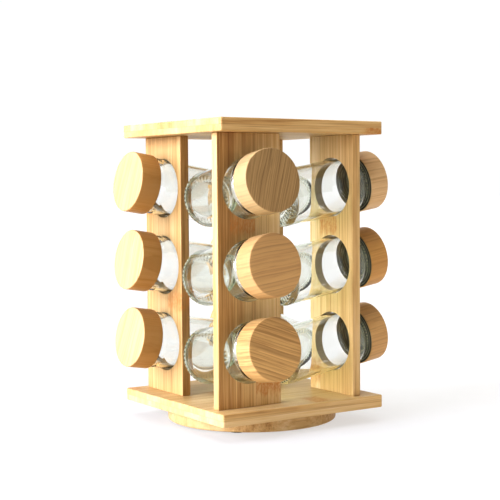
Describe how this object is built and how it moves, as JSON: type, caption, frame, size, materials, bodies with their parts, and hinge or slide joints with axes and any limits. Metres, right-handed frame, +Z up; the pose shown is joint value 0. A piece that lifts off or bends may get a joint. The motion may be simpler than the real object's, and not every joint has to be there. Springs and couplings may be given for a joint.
{
  "type": "spice carousel",
  "caption": "Turning bamboo spice rack: two square boards joined by pierced uprights on a round base, with tilted glass jars under round wooden screw lids.",
  "frame": {"origin": "on the floor, on the axis that the carousel turns about", "axes": "+Z up along the spin axis; -Y is the side of the front upright, +X the side of the right one"},
  "size_m": [0.2004, 0.2006, 0.2539],
  "materials": {
    "bamboo": "lacquered laminated bamboo",
    "lid_wood": "satin oiled wood",
    "glass": "clear pressed glass with a faint green edge",
    "seal_foam": "dark foamed plastic, ringed",
    "lid_insert": "dark rolled sheet metal",
    "bearing_steel": "zinc plated",
    "screw_steel": "zinc plated",
    "cage_plastic": "moulded plastic",
    "rubber": "matte rubber"
  },
  "bodies": {
    "turntable": {"turntable_disc": "bamboo", "rubber_feet": "rubber", "lower_race": "bearing_steel", "lower_race_screws": "screw_steel"},
    "ball_ring": {"bearing_balls": "bearing_steel", "ball_cage": "cage_plastic"},
    "carousel": {"upper_race": "bearing_steel", "upper_race_screws": "screw_steel", "lower_board": "bamboo", "upper_board": "bamboo", "upright_screws": "screw_steel", "top_dowels": "bamboo", "upright_front": "bamboo", "upright_right": "bamboo", "upright_back": "bamboo", "upright_left": "bamboo"},
    "jar_front_bottom": {"glass_jar_front_bottom": "glass"},
    "lid_lift_front_bottom": {"seal_front_bottom": "seal_foam"},
    "lid_front_bottom": {"lid_front_bottom": "lid_wood"},
    "jar_front_middle": {"glass_jar_front_middle": "glass"},
    "lid_lift_front_middle": {"seal_front_middle": "seal_foam"},
    "lid_front_middle": {"lid_front_middle": "lid_wood"},
    "jar_front_top": {"glass_jar_front_top": "glass"},
    "lid_lift_front_top": {"seal_front_top": "seal_foam"},
    "lid_front_top": {"lid_front_top": "lid_wood"},
    "jar_right_bottom": {"glass_jar_right_bottom": "glass"},
    "lid_lift_right_bottom": {"seal_right_bottom": "seal_foam"},
    "lid_right_bottom": {"lid_right_bottom": "lid_wood"},
    "jar_right_middle": {"glass_jar_right_middle": "glass"},
    "lid_lift_right_middle": {"seal_right_middle": "seal_foam"},
    "lid_right_middle": {"lid_right_middle": "lid_wood"},
    "jar_right_top": {"glass_jar_right_top": "glass"},
    "lid_lift_right_top": {"seal_right_top": "seal_foam"},
    "lid_right_top": {"lid_right_top": "lid_wood"},
    "jar_back_bottom": {"glass_jar_back_bottom": "glass"},
    "lid_lift_back_bottom": {"seal_back_bottom": "seal_foam"},
    "lid_back_bottom": {"lid_back_bottom": "lid_wood"},
    "jar_back_middle": {"glass_jar_back_middle": "glass"},
    "lid_lift_back_middle": {"seal_back_middle": "seal_foam"},
    "lid_back_middle": {"lid_back_middle": "lid_wood"},
    "jar_back_top": {"glass_jar_back_top": "glass"},
    "lid_lift_back_top": {"seal_back_top": "seal_foam"},
    "lid_back_top": {"lid_back_top": "lid_wood"},
    "jar_left_bottom": {"glass_jar_left_bottom": "glass"},
    "lid_lift_left_bottom": {"seal_left_bottom": "seal_foam"},
    "lid_left_bottom": {"lid_left_bottom": "lid_wood"},
    "jar_left_middle": {"glass_jar_left_middle": "glass"},
    "lid_lift_left_middle": {"seal_left_middle": "seal_foam"},
    "lid_left_middle": {"lid_left_middle": "lid_wood"},
    "jar_left_top": {"glass_jar_left_top": "glass"},
    "lid_lift_left_top": {"seal_left_top": "seal_foam"},
    "lid_left_top": {"lid_left_top": "lid_wood"}
  },
  "joints": [
    {"name": "carousel_spin", "type": "hinge", "parent": "turntable", "child": "carousel", "pos_m": [0, 0, 0.011], "axis": [0, 0, 1], "continuous": true},
    {"name": "ball_ring_roll", "type": "hinge", "parent": "turntable", "child": "ball_ring", "pos_m": [0, 0, 0.011], "axis": [0, 0, 1], "continuous": true},
    {"name": "jar_front_bottom_slide", "type": "slide", "parent": "carousel", "child": "jar_front_bottom", "axis": [0.0345, -0.9865, 0.1599], "range_m": [0, 0.1]},
    {"name": "lid_front_bottom_rise", "type": "slide", "parent": "jar_front_bottom", "child": "lid_lift_front_bottom", "axis": [0.0345, -0.9865, 0.1599], "range_m": [0, 0.0042]},
    {"name": "lid_front_bottom_unscrew", "type": "hinge", "parent": "lid_lift_front_bottom", "child": "lid_front_bottom", "pos_m": [-0.0425, -0.0581, 0.0671], "axis": [0.0345, -0.9865, 0.1599], "range_deg": [0, 360]},
    {"name": "jar_front_middle_slide", "type": "slide", "parent": "carousel", "child": "jar_front_middle", "axis": [0.0482, -0.986, 0.1599], "range_m": [0, 0.1]},
    {"name": "lid_front_middle_rise", "type": "slide", "parent": "jar_front_middle", "child": "lid_lift_front_middle", "axis": [0.0482, -0.986, 0.1599], "range_m": [0, 0.0042]},
    {"name": "lid_front_middle_unscrew", "type": "hinge", "parent": "lid_lift_front_middle", "child": "lid_front_middle", "pos_m": [-0.0425, -0.0581, 0.1331], "axis": [0.0482, -0.986, 0.1599], "range_deg": [0, 360]},
    {"name": "jar_front_top_slide", "type": "slide", "parent": "carousel", "child": "jar_front_top", "axis": [-0.0069, -0.9871, 0.1599], "range_m": [0, 0.1]},
    {"name": "lid_front_top_rise", "type": "slide", "parent": "jar_front_top", "child": "lid_lift_front_top", "axis": [-0.0069, -0.9871, 0.1599], "range_m": [0, 0.0042]},
    {"name": "lid_front_top_unscrew", "type": "hinge", "parent": "lid_lift_front_top", "child": "lid_front_top", "pos_m": [-0.0425, -0.0581, 0.1991], "axis": [-0.0069, -0.9871, 0.1599], "range_deg": [0, 360]},
    {"name": "jar_right_bottom_slide", "type": "slide", "parent": "carousel", "child": "jar_right_bottom", "axis": [0.9871, 0, 0.1599], "range_m": [0, 0.1]},
    {"name": "lid_right_bottom_rise", "type": "slide", "parent": "jar_right_bottom", "child": "lid_lift_right_bottom", "axis": [0.9871, 0, 0.1599], "range_m": [0, 0.0042]},
    {"name": "lid_right_bottom_unscrew", "type": "hinge", "parent": "lid_lift_right_bottom", "child": "lid_right_bottom", "pos_m": [0.0581, -0.0425, 0.0671], "axis": [0.9871, 0, 0.1599], "range_deg": [0, 360]},
    {"name": "jar_right_middle_slide", "type": "slide", "parent": "carousel", "child": "jar_right_middle", "axis": [0.9871, 0, 0.1599], "range_m": [0, 0.1]},
    {"name": "lid_right_middle_rise", "type": "slide", "parent": "jar_right_middle", "child": "lid_lift_right_middle", "axis": [0.9871, 0, 0.1599], "range_m": [0, 0.0042]},
    {"name": "lid_right_middle_unscrew", "type": "hinge", "parent": "lid_lift_right_middle", "child": "lid_right_middle", "pos_m": [0.0581, -0.0425, 0.1331], "axis": [0.9871, 0, 0.1599], "range_deg": [0, 360]},
    {"name": "jar_right_top_slide", "type": "slide", "parent": "carousel", "child": "jar_right_top", "axis": [0.9871, 0, 0.1599], "range_m": [0, 0.1]},
    {"name": "lid_right_top_rise", "type": "slide", "parent": "jar_right_top", "child": "lid_lift_right_top", "axis": [0.9871, 0, 0.1599], "range_m": [0, 0.0042]},
    {"name": "lid_right_top_unscrew", "type": "hinge", "parent": "lid_lift_right_top", "child": "lid_right_top", "pos_m": [0.0581, -0.0425, 0.1991], "axis": [0.9871, 0, 0.1599], "range_deg": [0, 360]},
    {"name": "jar_back_bottom_slide", "type": "slide", "parent": "carousel", "child": "jar_back_bottom", "axis": [-0.0345, 0.9865, 0.1599], "range_m": [0, 0.1]},
    {"name": "lid_back_bottom_rise", "type": "slide", "parent": "jar_back_bottom", "child": "lid_lift_back_bottom", "axis": [-0.0345, 0.9865, 0.1599], "range_m": [0, 0.0042]},
    {"name": "lid_back_bottom_unscrew", "type": "hinge", "parent": "lid_lift_back_bottom", "child": "lid_back_bottom", "pos_m": [0.0425, 0.0581, 0.0671], "axis": [-0.0345, 0.9865, 0.1599], "range_deg": [0, 360]},
    {"name": "jar_back_middle_slide", "type": "slide", "parent": "carousel", "child": "jar_back_middle", "axis": [-0.0482, 0.986, 0.1599], "range_m": [0, 0.1]},
    {"name": "lid_back_middle_rise", "type": "slide", "parent": "jar_back_middle", "child": "lid_lift_back_middle", "axis": [-0.0482, 0.986, 0.1599], "range_m": [0, 0.0042]},
    {"name": "lid_back_middle_unscrew", "type": "hinge", "parent": "lid_lift_back_middle", "child": "lid_back_middle", "pos_m": [0.0425, 0.0581, 0.1331], "axis": [-0.0482, 0.986, 0.1599], "range_deg": [0, 360]},
    {"name": "jar_back_top_slide", "type": "slide", "parent": "carousel", "child": "jar_back_top", "axis": [0.0069, 0.9871, 0.1599], "range_m": [0, 0.1]},
    {"name": "lid_back_top_rise", "type": "slide", "parent": "jar_back_top", "child": "lid_lift_back_top", "axis": [0.0069, 0.9871, 0.1599], "range_m": [0, 0.0042]},
    {"name": "lid_back_top_unscrew", "type": "hinge", "parent": "lid_lift_back_top", "child": "lid_back_top", "pos_m": [0.0425, 0.0581, 0.1991], "axis": [0.0069, 0.9871, 0.1599], "range_deg": [0, 360]},
    {"name": "jar_left_bottom_slide", "type": "slide", "parent": "carousel", "child": "jar_left_bottom", "axis": [-0.9871, 0, 0.1599], "range_m": [0, 0.1]},
    {"name": "lid_left_bottom_rise", "type": "slide", "parent": "jar_left_bottom", "child": "lid_lift_left_bottom", "axis": [-0.9871, 0, 0.1599], "range_m": [0, 0.0042]},
    {"name": "lid_left_bottom_unscrew", "type": "hinge", "parent": "lid_lift_left_bottom", "child": "lid_left_bottom", "pos_m": [-0.0581, 0.0425, 0.0671], "axis": [-0.9871, 0, 0.1599], "range_deg": [0, 360]},
    {"name": "jar_left_middle_slide", "type": "slide", "parent": "carousel", "child": "jar_left_middle", "axis": [-0.9871, 0, 0.1599], "range_m": [0, 0.1]},
    {"name": "lid_left_middle_rise", "type": "slide", "parent": "jar_left_middle", "child": "lid_lift_left_middle", "axis": [-0.9871, 0, 0.1599], "range_m": [0, 0.0042]},
    {"name": "lid_left_middle_unscrew", "type": "hinge", "parent": "lid_lift_left_middle", "child": "lid_left_middle", "pos_m": [-0.0581, 0.0425, 0.1331], "axis": [-0.9871, 0, 0.1599], "range_deg": [0, 360]},
    {"name": "jar_left_top_slide", "type": "slide", "parent": "carousel", "child": "jar_left_top", "axis": [-0.9871, 0, 0.1599], "range_m": [0, 0.1]},
    {"name": "lid_left_top_rise", "type": "slide", "parent": "jar_left_top", "child": "lid_lift_left_top", "axis": [-0.9871, 0, 0.1599], "range_m": [0, 0.0042]},
    {"name": "lid_left_top_unscrew", "type": "hinge", "parent": "lid_lift_left_top", "child": "lid_left_top", "pos_m": [-0.0581, 0.0425, 0.1991], "axis": [-0.9871, 0, 0.1599], "range_deg": [0, 360]}
  ],
  "couplings": [
    {"joint": "ball_ring_roll", "follows": "carousel_spin", "ratio": 0.5},
    {"joint": "lid_front_bottom_rise", "follows": "lid_front_bottom_unscrew", "m_per_rad": 0.00066845},
    {"joint": "lid_front_middle_rise", "follows": "lid_front_middle_unscrew", "m_per_rad": 0.00066845},
    {"joint": "lid_front_top_rise", "follows": "lid_front_top_unscrew", "m_per_rad": 0.00066845},
    {"joint": "lid_right_bottom_rise", "follows": "lid_right_bottom_unscrew", "m_per_rad": 0.00066845},
    {"joint": "lid_right_middle_rise", "follows": "lid_right_middle_unscrew", "m_per_rad": 0.00066845},
    {"joint": "lid_right_top_rise", "follows": "lid_right_top_unscrew", "m_per_rad": 0.00066845},
    {"joint": "lid_back_bottom_rise", "follows": "lid_back_bottom_unscrew", "m_per_rad": 0.00066845},
    {"joint": "lid_back_middle_rise", "follows": "lid_back_middle_unscrew", "m_per_rad": 0.00066845},
    {"joint": "lid_back_top_rise", "follows": "lid_back_top_unscrew", "m_per_rad": 0.00066845},
    {"joint": "lid_left_bottom_rise", "follows": "lid_left_bottom_unscrew", "m_per_rad": 0.00066845},
    {"joint": "lid_left_middle_rise", "follows": "lid_left_middle_unscrew", "m_per_rad": 0.00066845},
    {"joint": "lid_left_top_rise", "follows": "lid_left_top_unscrew", "m_per_rad": 0.00066845}
  ]
}
